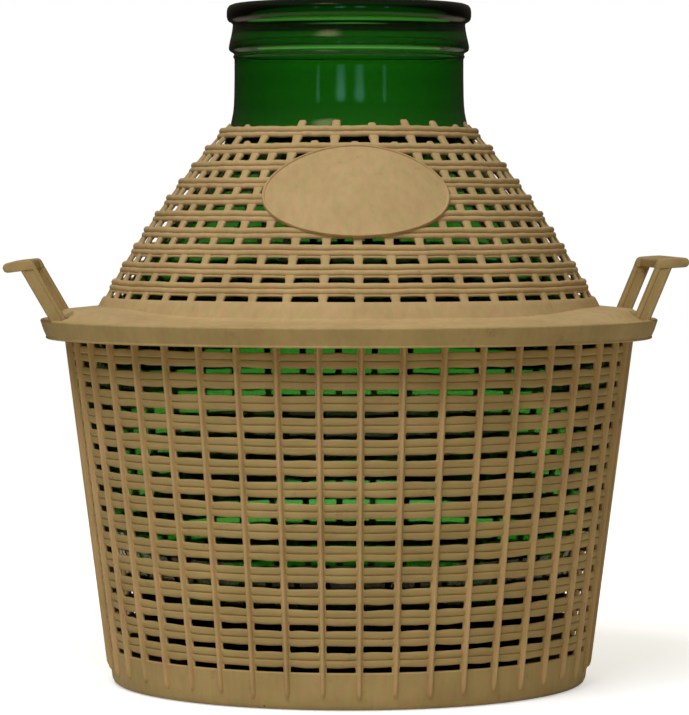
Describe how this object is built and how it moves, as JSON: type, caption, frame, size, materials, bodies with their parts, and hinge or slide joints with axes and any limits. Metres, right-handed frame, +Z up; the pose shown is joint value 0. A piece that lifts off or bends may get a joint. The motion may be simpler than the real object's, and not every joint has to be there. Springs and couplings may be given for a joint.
{
  "type": "demijohn",
  "caption": "Wide-mouth glass demijohn standing in a moulded slatted basket with two carrying handles, under a conical lattice cover.",
  "frame": {"origin": "centre of the basket's flat underside, on the floor under the bottle's axis", "axes": "+Z up along the bottle's axis; -Y towards the oval plate on the cover's front; the handles are at +X and -X"},
  "size_m": [0.3919, 0.36, 0.3958],
  "materials": {
    "glass": "clear green, smooth",
    "basket_plastic": "beige, satin, as moulded",
    "cover_plastic": "beige, satin, as moulded"
  },
  "bodies": {
    "basket": {"basket": "basket_plastic"},
    "bottle": {"bottle": "glass"},
    "cover": {"cover": "cover_plastic"}
  },
  "joints": [
    {"name": "bottle_lift", "type": "slide", "parent": "basket", "child": "bottle", "axis": [0, 0, 1], "range_m": [0, 0.26]},
    {"name": "cover_lift", "type": "slide", "parent": "bottle", "child": "cover", "axis": [0, 0, 1], "range_m": [0, 0.2]}
  ]
}
